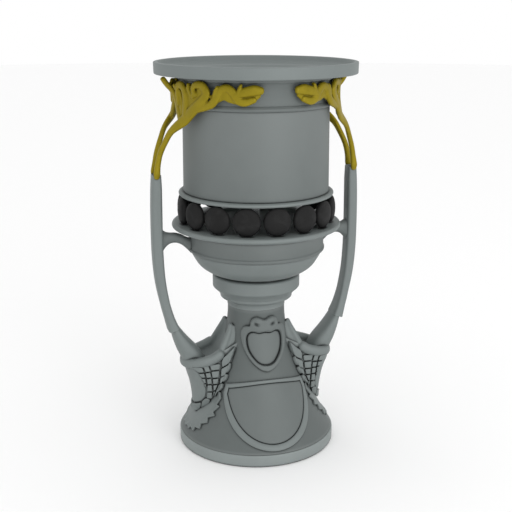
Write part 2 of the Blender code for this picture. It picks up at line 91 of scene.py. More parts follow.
# Materials
silverFinish = {
    "light": "666c6b", "dark": "636968",   # two close tones of the blasted plate
    "tarnishAndPaintedShade": "0e1110",                   # painted shade with some patina: the dark colour that an AO node lays into hollows and between parts
    "worn": "8b908f",                      # polished by hands on the edges
    "metallic": 0.25, "roughness": 0.58,
    "cloud": 26.0,                         # mm: how far apart the tarnish clouds lie
    "grit": 0.7,                           # mm: the blasting grit, drawn coarse so that it shows
    "hollow": 3.6,                         # mm: how far the AO node reaches into a corner to lay the painted shade and patina
}
paintedLightWornSilverFinish = silverFinish | {"light": "747b7a", "dark": "717877"}   # lighter copy of the plate: painted light on the reliefs, handles, rim, bowl and collar, with some wear where hands and cloths rub
paintedShadeSilverFinish = silverFinish | {"light": "5e6463", "dark": "5b6160"}   # darker copy of the plate: painted shade on the skirt between its reliefs
paintedBrightSilverFinish = silverFinish | {"light": "868d8c", "dark": "838a89"}   # lightest copy of the plate: painted light on the plinth, where the bounce from below would fall


def agedMetalWithPaintedShade(name, finish):
    # Bead-blasted metal: dull grain, tone that differs at random, dark corners as painted shade with some
    # patina, brighter worn edges
    material, tree, shader = newMaterial(name)
    place = addNode(tree, "ShaderNodeTexCoord")
    clouds = addNode(tree, "ShaderNodeTexNoise", {"Scale": 1 / (finish["cloud"] * mm), "Detail": 3.0},
                     {"Vector": place.outputs["Object"]})
    tone = addNode(tree, "ShaderNodeValToRGB", links={"Fac": clouds.outputs["Fac"]})
    tone.color_ramp.elements[0].position = 0.35
    tone.color_ramp.elements[0].color = hexColor(finish["dark"])
    tone.color_ramp.elements[1].position = 0.65
    tone.color_ramp.elements[1].color = hexColor(finish["light"])
    shape = addNode(tree, "ShaderNodeNewGeometry")
    edges = addNode(tree, "ShaderNodeMapRange", {"From Min": 0.53, "From Max": 0.62, "To Max": 0.35},
                    {"Value": shape.outputs["Pointiness"]})
    rubbed = addNode(tree, "ShaderNodeMix", {"B": hexColor(finish["worn"])},
                     {"Factor": edges.outputs["Result"], "A": tone.outputs["Color"]}, data_type="RGBA")
    rubbedColor = next(s for s in rubbed.outputs if s.type == "RGBA")
    # painted shade: the AO node darkens corners, creases and the gaps between parts towards the dark colour,
    # standing in for shade the lamps would cast there, with some patina
    corner = addNode(tree, "ShaderNodeAmbientOcclusion", {"Distance": finish["hollow"] * mm}, samples=8)
    hollow = addNode(tree, "ShaderNodeMapRange",
                     {"From Min": 0.42, "From Max": 0.92, "To Min": 0.95, "To Max": 0.0},
                     {"Value": corner.outputs["AO"]})
    paintedShadeMix = addNode(tree, "ShaderNodeMix", {}, {"Factor": hollow.outputs["Result"]}, data_type="RGBA")
    colorSockets = [s for s in paintedShadeMix.inputs if s.type == "RGBA"]
    tree.links.new(rubbedColor, colorSockets[0])
    colorSockets[1].default_value = hexColor(finish["tarnishAndPaintedShade"])
    tree.links.new(next(s for s in paintedShadeMix.outputs if s.type == "RGBA"), shader.inputs["Base Color"])
    grit = addNode(tree, "ShaderNodeTexNoise", {"Scale": 1 / (finish["grit"] * mm), "Detail": 2.0},
                   {"Vector": place.outputs["Object"]})
    shine = addNode(tree, "ShaderNodeMapRange",
                    {"To Min": finish["roughness"] - 0.06, "To Max": finish["roughness"] + 0.08},
                    {"Value": clouds.outputs["Fac"]})
    tree.links.new(shine.outputs["Result"], shader.inputs["Roughness"])
    shader.inputs["Specular IOR Level"].default_value = finish.get("gloss", 0.5)
    grain = addNode(tree, "ShaderNodeBump", {"Strength": 0.18, "Distance": 0.06 * mm},
                    {"Height": grit.outputs["Fac"]})
    tree.links.new(grain.outputs["Normal"], shader.inputs["Normal"])
    shader.inputs["Metallic"].default_value = finish["metallic"]
    return material


silver = agedMetalWithPaintedShade("bead_blasted_silver_plate", silverFinish)
# the lighter, darker and lightest copies below are painted light and painted shade on one silver plate
paintedLightWornSilver = agedMetalWithPaintedShade("silver_plate_painted_light_and_worn", paintedLightWornSilverFinish)
paintedShadeSilver = agedMetalWithPaintedShade("silver_plate_painted_shade", paintedShadeSilverFinish)
paintedBrightSilver = agedMetalWithPaintedShade("silver_plate_painted_bright", paintedBrightSilverFinish)

giltFinish = {
    "light": "8e7e14", "dark": "86770f",   # matte mercury gilding, a little greenish
    # the first dark colour here is painted shade that the AO node lays into the scrolls' hollows, with some
    # patina
    "tarnishAndPaintedShade": "171402", "worn": "9c8c30",
    "metallic": 0.4, "roughness": 0.5, "gloss": 0.25,
    "cloud": 14.0, "grit": 0.5, "hollow": 2.6,
}
gilt = agedMetalWithPaintedShade("matte_fire_gilding", giltFinish)

ironFinish = {
    "light": "3a3a3a", "dark": "2a2b2b", "tarnishAndPaintedShade": "0c0c0c", "worn": "565656",
    "metallic": 0.7, "roughness": 0.68, "cloud": 9.0, "grit": 1.6, "hollow": 2.0,
}
castIron = agedMetalWithPaintedShade("sand_cast_iron", ironFinish)

steelFinish = {
    "light": "b4b6b8", "dark": "a2a6a8", "tarnishAndPaintedShade": "3c3e3e", "worn": "cfd1d2",
    "metallic": 1.0, "roughness": 0.33, "cloud": 6.0, "grit": 0.8, "hollow": 1.0,
}
zincSteel = agedMetalWithPaintedShade("zinc_plated_steel", steelFinish)

stoneFinish = {"body": "141414", "vein": "1f1f1f", "roughness": 0.68, "vein size": 22.0, "speckle": 1.4}


def honedStone():
    # Black onyx, honed and not polished: a soft sheen, faint grey clouds and a fine speckle
    material, tree, shader = newMaterial("honed_black_onyx")
    place = addNode(tree, "ShaderNodeTexCoord")
    vein = addNode(tree, "ShaderNodeTexNoise",
                   {"Scale": 1 / (stoneFinish["vein size"] * mm), "Detail": 6.0, "Distortion": 1.6},
                   {"Vector": place.outputs["Object"]})
    tone = addNode(tree, "ShaderNodeValToRGB", links={"Fac": vein.outputs["Fac"]})
    tone.color_ramp.elements[0].position = 0.5
    tone.color_ramp.elements[0].color = hexColor(stoneFinish["body"])
    tone.color_ramp.elements[1].position = 0.72
    tone.color_ramp.elements[1].color = hexColor(stoneFinish["vein"])
    tree.links.new(tone.outputs["Color"], shader.inputs["Base Color"])
    speckle = addNode(tree, "ShaderNodeTexNoise", {"Scale": 1 / (stoneFinish["speckle"] * mm), "Detail": 2.0},
                      {"Vector": place.outputs["Object"]})
    sheen = addNode(tree, "ShaderNodeMapRange",
                    {"To Min": stoneFinish["roughness"] - 0.08, "To Max": stoneFinish["roughness"] + 0.08},
                    {"Value": speckle.outputs["Fac"]})
    tree.links.new(sheen.outputs["Result"], shader.inputs["Roughness"])
    shader.inputs["IOR"].default_value = 1.54
    shader.inputs["Specular IOR Level"].default_value = 0.2
    return material


stone = honedStone()

feltFinish = {"light": "2f5b3c", "dark": "1b3a26", "fibre": 0.9}


def woolFelt():
    # Pressed wool: matte, with short tangled fibres
    material, tree, shader = newMaterial("pressed_wool_felt")
    place = addNode(tree, "ShaderNodeTexCoord")
    fibre = addNode(tree, "ShaderNodeTexNoise",
                    {"Scale": 1 / (feltFinish["fibre"] * mm), "Detail": 5.0, "Distortion": 2.5},
                    {"Vector": place.outputs["Object"]})
    tone = addNode(tree, "ShaderNodeValToRGB", links={"Fac": fibre.outputs["Fac"]})
    tone.color_ramp.elements[0].position = 0.38
    tone.color_ramp.elements[0].color = hexColor(feltFinish["dark"])
    tone.color_ramp.elements[1].position = 0.66
    tone.color_ramp.elements[1].color = hexColor(feltFinish["light"])
    nap = addNode(tree, "ShaderNodeBump", {"Strength": 0.7, "Distance": 0.3 * mm},
                  {"Height": fibre.outputs["Fac"]})
    tree.links.new(tone.outputs["Color"], shader.inputs["Base Color"])
    tree.links.new(nap.outputs["Normal"], shader.inputs["Normal"])
    shader.inputs["Roughness"].default_value = 0.95
    shader.inputs["Sheen Weight"].default_value = 0.4
    return material


felt = woolFelt()
print("materials made")


# Shape tools
def meshOf(name, bm, sharpAngle=40.0):
    bmesh.ops.remove_doubles(bm, verts=bm.verts, dist=0.001 * mm)
    bmesh.ops.recalc_face_normals(bm, faces=bm.faces)
    mesh = bpy.data.meshes.new(name)
    bm.to_mesh(mesh)
    bm.free()
    mesh.shade_smooth()
    mesh.set_sharp_from_angle(angle=math.radians(sharpAngle))
    return mesh


def finishPiece(name, mesh, material, slot, *nodes):
    mesh.materials.clear()
    mesh.materials.append(material)
    piece = bpy.data.objects.new(name, mesh)
    bpy.context.scene.collection.objects.link(piece)
    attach(piece, "root")
    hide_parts(*nodes)
    return piece


def mirrored(vector, side, face):
    # side is +1 for right and -1 for left, face is +1 for front and -1 for back
    return Vector((vector.x * side, vector.y * face, vector.z))


def onCylinder(radius, angle, z):
    # angle in degrees from the front, towards +X
    turn = math.radians(angle)
    return Vector((radius * math.sin(turn), -radius * math.cos(turn), z))


def smoothPath(points, count):
    # Catmull-Rom curve through the points, read at even steps
    points = [Vector(p) for p in points]
    padded = [2 * points[0] - points[1]] + points + [2 * points[-1] - points[-2]]
    path = []
    for step in range(count + 1):
        place = step / count * (len(points) - 1)
        first = min(int(place), len(points) - 2)
        t = place - first
        a, b, c, d = padded[first:first + 4]
        path.append(0.5 * (2 * b + (c - a) * t + (2 * a - 5 * b + 4 * c - d) * t ** 2
                           + (3 * b - a - 3 * c + d) * t ** 3))
    return path


def spread(values, count):
    # the values as a run of count + 1 numbers
    return np.interp(np.linspace(0, len(values) - 1, count + 1), range(len(values)), values)


def rounded(points, steps=4):
    # a closed outline of (radius, height, rounding) points, with each corner rounded
    outline = []
    for i, (r, z, rounding) in enumerate(points):
        corner = Vector((r, z))
        back = Vector(points[i - 1][:2]) - corner
        ahead = Vector(points[(i + 1) % len(points)][:2]) - corner
        reach = min(rounding, 0.45 * back.length, 0.45 * ahead.length)
        if reach < 0.02:
            outline.append(corner)
            continue
        start = corner + back.normalized() * reach
        end = corner + ahead.normalized() * reach
        for t in np.linspace(0, 1, steps + 1):
            outline.append(start * (1 - t) ** 2 + corner * 2 * t * (1 - t) + end * t ** 2)
    return outline


def turned(name, outline, facets=192):
    # the outline turned round the Z axis
    bm = bmesh.new()
    verts = [bm.verts.new((p[0] * mm, 0.0, p[1] * mm)) for p in outline]
    edges = [bm.edges.new(ends) for ends in zip(verts, verts[1:] + verts[:1])]
    bmesh.ops.spin(bm, geom=verts + edges, cent=(0, 0, 0), axis=(0, 0, 1),
                   angle=2 * math.pi, steps=facets, use_merge=True)
    return meshOf(name, bm)


def skin(bm, rings, closed=False):
    # faces between rings of equal length, with a fan over each end unless closed
    loops = [[bm.verts.new(p * mm) for p in ring] for ring in rings]
    pairs = list(zip(loops, loops[1:] + loops[:1])) if closed else list(zip(loops, loops[1:]))
    for near, far in pairs:
        for i in range(len(near)):
            j = (i + 1) % len(near)
            bm.faces.new((near[i], near[j], far[j], far[i]))
    if closed:
        return
    for loop in (loops[0], loops[-1]):
        middle = bm.verts.new(sum((v.co for v in loop), Vector()) / len(loop))
        for i in range(len(loop)):
            bm.faces.new((loop[i], loop[(i + 1) % len(loop)], middle))


def bar(bm, path, widths, depths, normals, sides=16, power=2.0, domes=(True, True)):
    # a bar along the path: width across, depth along the normals, power 2 for an oval and more for squarer
    rings = []
    for i, point in enumerate(path):
        along = (path[min(i + 1, len(path) - 1)] - path[max(i - 1, 0)]).normalized()
        normal = (normals[i] - normals[i].dot(along) * along).normalized()
        across = along.cross(normal)
        ends = [0.0]
        if i == 0 and domes[0]:
            ends = [-0.995, -0.9, -0.7, -0.4, 0.0]
        if i == len(path) - 1 and domes[1]:
            ends = [0.0, 0.4, 0.7, 0.9, 0.995]
        for end in ends:
            shrink = math.sqrt(1 - end ** 2)
            centre = point + along * end * min(widths[i], depths[i])
            ring = []
            for k in range(sides):
                turn = 2 * math.pi * (k + 0.5) / sides
                c, s = math.cos(turn), math.sin(turn)
                ring.append(centre + across * widths[i] * shrink * math.copysign(abs(c) ** (2 / power), c)
                            + normal * depths[i] * shrink * math.copysign(abs(s) ** (2 / power), s))
            rings.append(ring)
    skin(bm, rings)


def softened(outline, passes, share=0.22):
    # cuts the corners of a closed 2D outline by this share of each side, again and again
    for _ in range(passes):
        cut = []
        for a, b in zip(outline, outline[1:] + outline[:1]):
            cut += [a.lerp(b, share), a.lerp(b, 1 - share)]
        outline = cut
    return outline


def pad(bm, outline, place, rings, centre=None):
    # a raised pad on a surface: place(u, v, lift) gives the point, rings are (inset in mm, lift)
    outline = [Vector(p) for p in outline]
    centre = Vector(centre) if centre else sum(outline, Vector((0, 0))) / len(outline)
    hub = place(*centre, 0.0)
    reach = sum((place(*p, 0.0) - hub).length for p in outline) / len(outline)
    loops = []
    for inset, lift in rings:
        share = min(0.97, inset / reach)
        loops.append([place(*p.lerp(centre, share), lift) for p in outline])
    skin(bm, loops)


def band(bm, outer, inner, place, lifts):
    # a raised band between two closed outlines: lifts are (share of the way in, lift)
    loops = [[place(*a.lerp(b, share), lift) for a, b in zip(outer, inner)] for share, lift in lifts]
    skin(bm, loops, closed=True)


def evenly(points, count):
    # an open 2D line read at count even steps of its length
    points = [Vector(p) for p in points]
    lengths = np.cumsum([0.0] + [(b - a).length for a, b in zip(points, points[1:])])
    wanted = np.linspace(0, lengths[-1], count)
    columns = [np.interp(wanted, lengths, [p[k] for p in points]) for k in range(2)]
    return [Vector(p) for p in zip(*columns)]


def castMesh(name, bm, voxel, passes):
    # joins overlapping bars into one casting with soft inside corners
    mesh = meshOf(name, bm)
    rough = bpy.data.objects.new(name + "Rough", mesh)
    bpy.context.scene.collection.objects.link(rough)
    remesh = rough.modifiers.new("cast", "REMESH")
    remesh.mode = "VOXEL"
    remesh.voxel_size = voxel * mm
    smooth = rough.modifiers.new("fettle", "SMOOTH")
    smooth.iterations = passes
    smooth.factor = 0.5
    bpy.context.view_layer.update()
    evaluated = rough.evaluated_get(bpy.context.evaluated_depsgraph_get())
    cast = bpy.data.meshes.new_from_object(evaluated)
    bpy.data.objects.remove(rough)
    cast.name = name
    cast.shade_smooth()
    return cast


# Plinth and skirt
def highest(node):
    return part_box(node)[1] / mm


base = {"stem radius": 37.2, "flare top": 182.0, "flare": 1.7, "wall": 3.0, "rod hole": 5.3,
        "plinth wall": 7.0, "plinth foot": 0.5, "gap": 0.3,
        "hollow top": 170.0, "roof": 5.0, "roof radius": 30.0}  # where the hollow narrows, and its roof
plinthTop = highest("plinth_band").z
plinthRadius = highest("plinth_band").x
skirtFoot = highest("base_shell").x
shellTop = highest("base_shell").z


def skirtRadius(z):
    # flares from the stem to the plinth as a power of the height
    if z >= base["flare top"]:
        return base["stem radius"]
    share = (base["flare top"] - z) / (base["flare top"] - plinthTop)
    return base["stem radius"] + (skirtFoot - base["stem radius"]) * share ** base["flare"]


def onSkirt(angle, z, lift):
    slope = (skirtRadius(z - 0.5) - skirtRadius(z + 0.5))
    length = math.hypot(1.0, slope)
    return onCylinder(skirtRadius(z) + lift / length, angle, z + lift * slope / length)


def makeBase():
    inner = plinthRadius - base["plinth wall"]
    foot = base["plinth foot"]
    outline = rounded([(inner, foot, 0), (plinthRadius, foot, 1.2), (plinthRadius, plinthTop, 1.6),
                       (inner, plinthTop, 0)])
    # painted light: the plinth takes the lightest copy of the plate
    finishPiece("plinthBand", turned("plinthBand", outline), paintedBrightSilver, "silver", "plinth_band")
    heights = np.linspace(plinthTop + base["gap"], base["flare top"], 56)
    outer = [(skirtRadius(z), z) for z in heights] + [(base["stem radius"], shellTop)]
    underside = [(skirtRadius(z) - base["wall"], z) for z in heights if z < base["hollow top"]]
    roofUnder = shellTop - base["roof"]
    roof = [(base["rod hole"], shellTop), (base["rod hole"], roofUnder), (base["roof radius"], roofUnder)]
    shell = turned("baseShell", outer + roof + underside[::-1])
    # painted shade: the skirt takes the darker copy of the plate
    finishPiece("baseShell", shell, paintedShadeSilver, "silver", "base_shell")


makeBase()
print("base turned")


# Shields: a U of moulding on the skirt with a bar across its top, and a plain plate inside
shield = {
    "widest": 80.0,
    "outside": {"half": 54.8, "curve": 1.1, "bottom": 19.2, "end": 91.0, "rise": 8.3},
    "inside": {"half": 49.8, "curve": 0.97, "bottom": 26.2, "end": 86.7, "rise": 8.6},
    "plate": {"half": 49.4, "curve": 0.97, "bottom": 26.8, "end": 86.4, "rise": 8.5},
    "rise": 3.0,
    "hub": (0.0, 66.0),  # angle and height of the plate's middle
}


def shieldOutline(shape):
    # from the bar's left end down round the U and back along the bar, as (angle, height)
    points = []
    for step in range(-40, 41):
        share = math.cos(math.radians(90) * step / 40)
        width = shape["half"] * math.sqrt(max(0.0, 1 - share ** shape["curve"]))
        points.append(Vector((math.copysign(width, step),
                              shield["widest"] - (shield["widest"] - shape["bottom"]) * share)))
    for share in np.linspace(1.0, -1.0, 50):
        arch = shape["rise"] * math.cos(math.pi / 2 * share)
        points.append(Vector((shape["half"] * share, shape["end"] + arch)))
    return points


def makeShields():
    rise = shield["rise"]
    lifts = [(0.0, -1.0), (0.0, rise - 1.0), (0.06, rise - 0.5), (0.2, rise - 0.1), (0.5, rise),
             (0.8, rise - 0.2), (0.93, rise - 0.8), (1.0, rise - 1.6), (1.0, -1.0)]
    outer = shieldOutline(shield["outside"])
    inner = shieldOutline(shield["inside"])
    plate = shieldOutline(shield["plate"])
    for label, turn in (("front", 0.0), ("back", 180.0)):
        def place(angle, z, lift):
            return onSkirt(angle + turn, z, lift)
        bm = bmesh.new()
        band(bm, outer, inner, place, lifts)
        frameMesh = meshOf("shieldFrame", bm)
        finishPiece(f"{label}ShieldFrame", frameMesh, paintedLightWornSilver, "silver", f"{label}_shield_frame")
        bm = bmesh.new()
        insets = [(0.0, -1.0), (0.0, 0.7), (0.4, 1.2), (1.2, 1.5)] + [(k, 1.6) for k in range(4, 44, 3)]
        pad(bm, plate, place, insets, centre=shield["hub"])
        panelMesh = meshOf("shieldPanel", bm)
        finishPiece(f"{label}ShieldPanel", panelMesh, silver, "silver", f"{label}_shield_panel")


makeShields()

# Crests: a small shield with a knotted ribbon over it
crest = {"rise": 4.6, "hub": (0.0, 142.0), "groove share": 0.9 / 20,
         "knot angle": 15.0, "knot height": 169.6, "knot rise": 1.2, "knot from": 3.8, "knot scale": 0.78,
         "knob spread": 40, "dimple": 3.6, "dimple spread": (12, 3.4)}
crestEdge = [(0, 109.2), (6, 110.8), (12, 114), (19, 119.5), (25.5, 126), (31.5, 133), (37, 141), (41, 149),
             (43, 156.5), (42.2, 161.8), (38.5, 165.6), (32.5, 167), (26.5, 167.6), (26, 172), (24, 175.8),
             (19.5, 178.2), (14.5, 178.9), (8.5, 177.7), (3.5, 175.9), (0, 175.2)]
crestInside = [(0, 116.6), (5, 117), (9.5, 118.4), (14, 121), (19, 125.4), (24.5, 131), (29, 137.5),
               (32, 144.5), (33, 151), (31.6, 155.4), (28, 158.4), (23, 159.8), (17, 159.2), (12, 158.2),
               (6, 158.6), (0, 159.4)]


def bothHalves(line, count):
    # a closed outline from its right half, which runs from the bottom to the top
    right = evenly([p.to_2d() for p in smoothPath([(a, z, 0.0) for a, z in line], 120)], count)
    return right + [Vector((-p.x, p.y)) for p in right[-2:0:-1]]


def knotLift(angle, z):
    # two knobs on the ribbon, each with a slanting dimple; u and v are mm from the knob's middle
    u = (abs(angle) - crest["knot angle"]) * crest["knot scale"]
    v = z - crest["knot height"]
    knob = crest["knot rise"] * math.exp(-(u * u + v * v) / crest["knob spread"])
    across = u * 0.35 - v * 0.94
    long, short = crest["dimple spread"]
    dimple = crest["dimple"] * math.exp(-(u * u) / long - (across * across) / short)
    return knob - dimple


def makeCrests():
    rise = crest["rise"]
    shares = [(0.0, -1.0), (0.0, rise - 1.8), (0.03, rise - 0.9), (0.1, rise - 0.2)]
    shares += [(share, rise) for share in np.linspace(0.2, 0.8, 22)]
    shares += [(0.9, rise - 0.4), (0.97, rise - 1.4), (1.0, rise - 2.6), (1.0, -1.0)]
    outer = bothHalves(crestEdge, 110)
    inner = bothHalves(crestInside, 110)
    hub = Vector(crest["hub"])
    plate = [p.lerp(hub, crest["groove share"]) for p in inner]
    for label, turn in (("front", 0.0), ("back", 180.0)):
        def place(angle, z, lift):
            raised = lift + knotLift(angle, z) if lift > crest["knot from"] else lift
            return onSkirt(angle + turn, z, raised)
        bm = bmesh.new()
        band(bm, outer, inner, place, shares)
        frameMesh = meshOf("crestFrame", bm, 60)
        finishPiece(f"{label}CrestFrame", frameMesh, silver, "silver", f"{label}_crest_frame")
        bm = bmesh.new()
        insets = [(0.0, -1.0), (0.0, 0.4), (0.4, 0.9), (1.2, 1.3)] + [(k, 1.4) for k in range(3, 20, 2)]
        pad(bm, plate, place, insets, centre=hub)
        finishPiece(f"{label}CrestPanel", meshOf("crestPanel", bm), silver, "silver", f"{label}_crest_panel")


makeCrests()
print("shields and crests laid on")

# Consoles: height, reach from the axis and half width of the bracket under each handle
console = {"levels": [(38.0, 86.6, 3.0), (42.0, 86.3, 8.0), (50.0, 86.0, 14.0), (58.0, 86.2, 21.0),
                      (70.0, 86.8, 26.5), (84.0, 89.0, 28.0), (96.0, 92.5, 28.0), (107.0, 97.5, 27.5),
                      (114.0, 100.5, 27.0), (126.0, 104.0, 26.5)],
           "corner": 24.0, "wall": 3.5, "top": 110.0, "top slant": 0.5, "slant from": 78.0,
           "least root": 20.0, "root depth": 6.0, "blend": 6.0,
           "tear": [(52.5, 115), (58, 110), (64, 105), (65.5, 96), (65.5, 87), (63, 79), (58.5, 71),
                    (48, 64.5), (26, 59.2), (0, 57.4)],  # turn and height, from the top round to the foot
           "tear hub": (0, 90)}
consoleCurve = smoothPath(console["levels"], 240)


def consolePlan(z):
    # where the side starts to bend, the reach and the half width at this height
    heights = [p.x for p in consoleCurve]
    reach = float(np.interp(z, heights, [p.y for p in consoleCurve]))
    half = float(np.interp(z, heights, [p.z for p in consoleCurve]))
    return reach - console["corner"], reach, half


def onConsoleEnd(turn, z, lift):
    # turn is 0 at the tip of the oval end and 90 where its front side starts; front is -Y
    bend, reach, half = consolePlan(z)
    c, s = math.cos(math.radians(turn)), math.sin(math.radians(turn))
    normal = Vector((c / (reach - bend), -s / max(half, 1.0), 0.0)).normalized()
    return Vector((bend + (reach - bend) * c, -half * s, z)) + normal * lift


def wingDepth(x, z):
    # how far from the XZ plane the console's side or the skirt lies, with a soft corner between them
    bend, reach, half = consolePlan(z)
    along = min(0.999, max(0.0, x - bend) / (reach - bend))
    side = half * math.sqrt(1 - along ** 2)
    radius = skirtRadius(z)
    skirt = math.sqrt(radius ** 2 - x ** 2) if x < radius else 0.0
    return 0.5 * (side + skirt + math.sqrt((side - skirt) ** 2 + console["blend"]))


def onWing(x, z, lift):
    y = wingDepth(x, z)
    slopeX = wingDepth(x + 0.2, z) - wingDepth(x - 0.2, z)
    slopeZ = wingDepth(x, z + 0.2) - wingDepth(x, z - 0.2)
    normal = Vector((-slopeX, 0.4, -slopeZ)).normalized()
    point = Vector((x, y, z)) + normal * lift
    return Vector((point.x, -point.y, point.z))


def makeConsole(label, side):
    rings = []
    for z in np.linspace(console["levels"][0][0], console["top"], 44):
        bend, reach, half = consolePlan(z)
        lines = []
        for offset in (0.0, console["wall"]):
            width = max(0.4, half - offset)
            root = max(console["least root"], skirtRadius(z) - console["root depth"] - 0.02 * half ** 2)
            line = [Vector((root, -width, z))]
            line += [Vector((bend + (reach - bend - offset) * math.cos(turn), width * math.sin(turn), z))
                     for turn in np.linspace(-math.pi / 2, math.pi / 2, 41)]
            line.append(Vector((root, width, z)))
            lines.append(line)
        ring = lines[0] + lines[1][::-1]
        slanting = console["top"] - console["slant from"]
        rise = console["top slant"] * max(0.0, z - console["slant from"]) / slanting
        for point in ring:
            point.z += rise * max(0.0, reach - point.x)
        rings.append([mirrored(p, side, 1) for p in ring])
    bm = bmesh.new()
    loops = [[bm.verts.new(p * mm) for p in ring] for ring in rings]
    count = len(loops[0])
    for near, far in zip(loops, loops[1:]):
        for i in range(count):
            j = (i + 1) % count
            bm.faces.new((near[i], near[j], far[j], far[i]))
    for loop in (loops[0], loops[-1]):
        for i in range(count // 2 - 1):
            bm.faces.new((loop[i], loop[i + 1], loop[count - 2 - i], loop[count - 1 - i]))

    # the plain tear-shaped face at the oval end
    half = [p.to_2d() for p in smoothPath([(a, z, 0) for a, z in console["tear"]], 60)]
    outline = half + [Vector((-p.x, p.y)) for p in half[-2::-1]]
    insets = [(0.0, -0.6), (0.0, 0.7), (0.5, 1.2), (1.4, 1.5)] + [(k, 1.6) for k in range(4, 26, 3)]
    pad(bm, outline, lambda a, z, lift: mirrored(onConsoleEnd(a, z, lift), side, 1), insets,
        centre=console["tear hub"])
    finishPiece(f"{label}Console", meshOf("console", bm), paintedLightWornSilver, "silver", f"{label}_console")


# Wings: rows of small covert feathers, four long feathers, and rounded ends under the tear
wing = {"rise": 3.4, "gap": 1.7, "long rise": 4.6}
featherLines = [  # distance from the axis at falling heights, from the long feathers to the tear
    [(55.2, 120), (56.6, 110.7), (57.7, 101.8), (59.2, 92.9), (60.6, 86.5), (63.6, 79), (66.0, 71)],
    [(71.6, 118), (68.9, 106.6), (68, 98.4), (67.3, 90), (66.6, 81.3), (66.6, 71)],
    [(79.6, 117), (76.6, 106.4), (74.6, 98), (73.7, 90.3), (73.6, 81.4), (73.9, 69)],
    [(92.5, 115), (83.6, 106.2), (78.6, 95.9), (75.9, 87.2), (75.3, 79.2), (75.2, 68.6)],
]
featherRows = [  # heights of the gaps in each column of small feathers
    [118, 108.6, 98.3, 89.8, 81, 72.5],
    [117, 107.2, 99.2, 90.4, 80, 69.8],
    [115.5, 107, 99.8, 92, 85],
]
longFeathers = [
    [(54.6, 112.4), (47.5, 115.6), (41.3, 120), (37.8, 128), (35.4, 137.2), (36.8, 138.6), (41, 135),
     (47, 129.4), (52.5, 125.6), (54.6, 121)],
    [(56.2, 99.9), (51.2, 101.2), (46.2, 104), (42.8, 110), (41.4, 116), (42.8, 117), (47.8, 114),
     (55.6, 110)],
    [(57.8, 90.7), (51.4, 92), (48.2, 96), (46, 101), (46.8, 102.6), (50, 101.9), (56.6, 98.2)],
    [(59, 88.8), (54, 90.2), (52, 89.6), (53.2, 85.2), (58.3, 78.6), (63, 74.2), (64.8, 73.8), (63.8, 78.4),
     (61, 84.2)],
]
roundEnds = [
    [(75, 68.5), (61, 70), (50, 63.5), (48, 52), (58, 51.5), (68, 57)],
    [(48, 62), (36, 59), (24, 57), (4, 55.6), (4, 46.5), (24, 45), (45.5, 49)],
]


def lineAt(line, z):
    heights = [p[1] for p in line][::-1]
    return float(np.interp(z, heights, [p[0] for p in line][::-1]))


def makeWing(label, side, face):
    def onSide(x, z, lift):
        return mirrored(onWing(x, z, lift), side, face)

    def onEnd(turn, z, lift):
        return mirrored(onConsoleEnd(turn, z, lift), side, face)

    rise = wing["rise"]
    longRise = wing["long rise"]
    small = [(0.0, -0.8), (0.0, rise - 0.9), (0.2, rise - 0.3), (0.7, rise - 0.05), (1.4, rise)]
    long = [(0.0, -1.0), (0.0, longRise - 1.0), (0.25, longRise - 0.35), (0.8, longRise - 0.05),
            (2.0, longRise)]
    bm = bmesh.new()
    for column, rows in enumerate(featherRows):
        left, right = featherLines[column], featherLines[column + 1]
        for high, low in zip(rows, rows[1:]):
            half = wing["gap"] / 2
            corners = [(lineAt(left, high) + half, high - half), (lineAt(right, high) - half, high - half),
                       (lineAt(right, low) - half, low + half), (lineAt(left, low) + half, low + half)]
            if corners[1][0] - corners[0][0] < 1.0 or corners[2][0] - corners[3][0] < 0.4:
                corners = [corners[0], corners[1], ((corners[2][0] + corners[3][0]) / 2, low + half)]
            pad(bm, softened([Vector(c) for c in corners], 2, 0.12), onSide, small)
    for feather in longFeathers:
        pad(bm, softened([Vector(c) for c in feather], 2, 0.15), onSide, long)
    for end in roundEnds:
        pad(bm, softened([Vector(c) for c in end], 2), onEnd, small)
    finishPiece(f"{label}Wing", meshOf("wing", bm, 60), paintedLightWornSilver, "silver", f"{label}_wing")


# Leaves: a saw-edged bib on the skirt under each console, as half angle from the side and height
leaf = {"rise": 2.7, "edge": [(20, 80), (31, 79), (34, 73), (31.2, 64.6), (35, 63.4), (30, 55.4), (33, 51.4),
                              (26, 46.6), (27.4, 41), (21, 36.8), (21.8, 30.8), (16, 29.9), (15.6, 25.2),
                              (10, 27), (8, 23.4), (4, 25.4), (0, 22.8)]}


def makeLeaf(label, side):
    half = [Vector(p) for p in leaf["edge"]]
    points = half + [Vector((-p.x, p.y)) for p in half[-2::-1]]
    outline = []
    for a, b in zip(points, points[1:] + points[:1]):
        outline += [a.lerp(b, t) for t in (0.06, 0.3, 0.6, 0.94)]
    rise = leaf["rise"]
    insets = [(0.0, -1.0), (0.0, rise - 0.9), (0.3, rise - 0.2), (1.2, rise)]
    insets += [(3.0, rise - 0.5), (5.5, rise - 1.2)] + [(k, rise - 1.5) for k in range(8, 34, 3)]
    bm = bmesh.new()
    pad(bm, outline, lambda a, z, lift: onSkirt(90.0 * side + a, z, lift), insets, centre=(0, 58))
    finishPiece(f"{label}Leaf", meshOf("leaf", bm), paintedLightWornSilver, "silver", f"{label}_leaf")


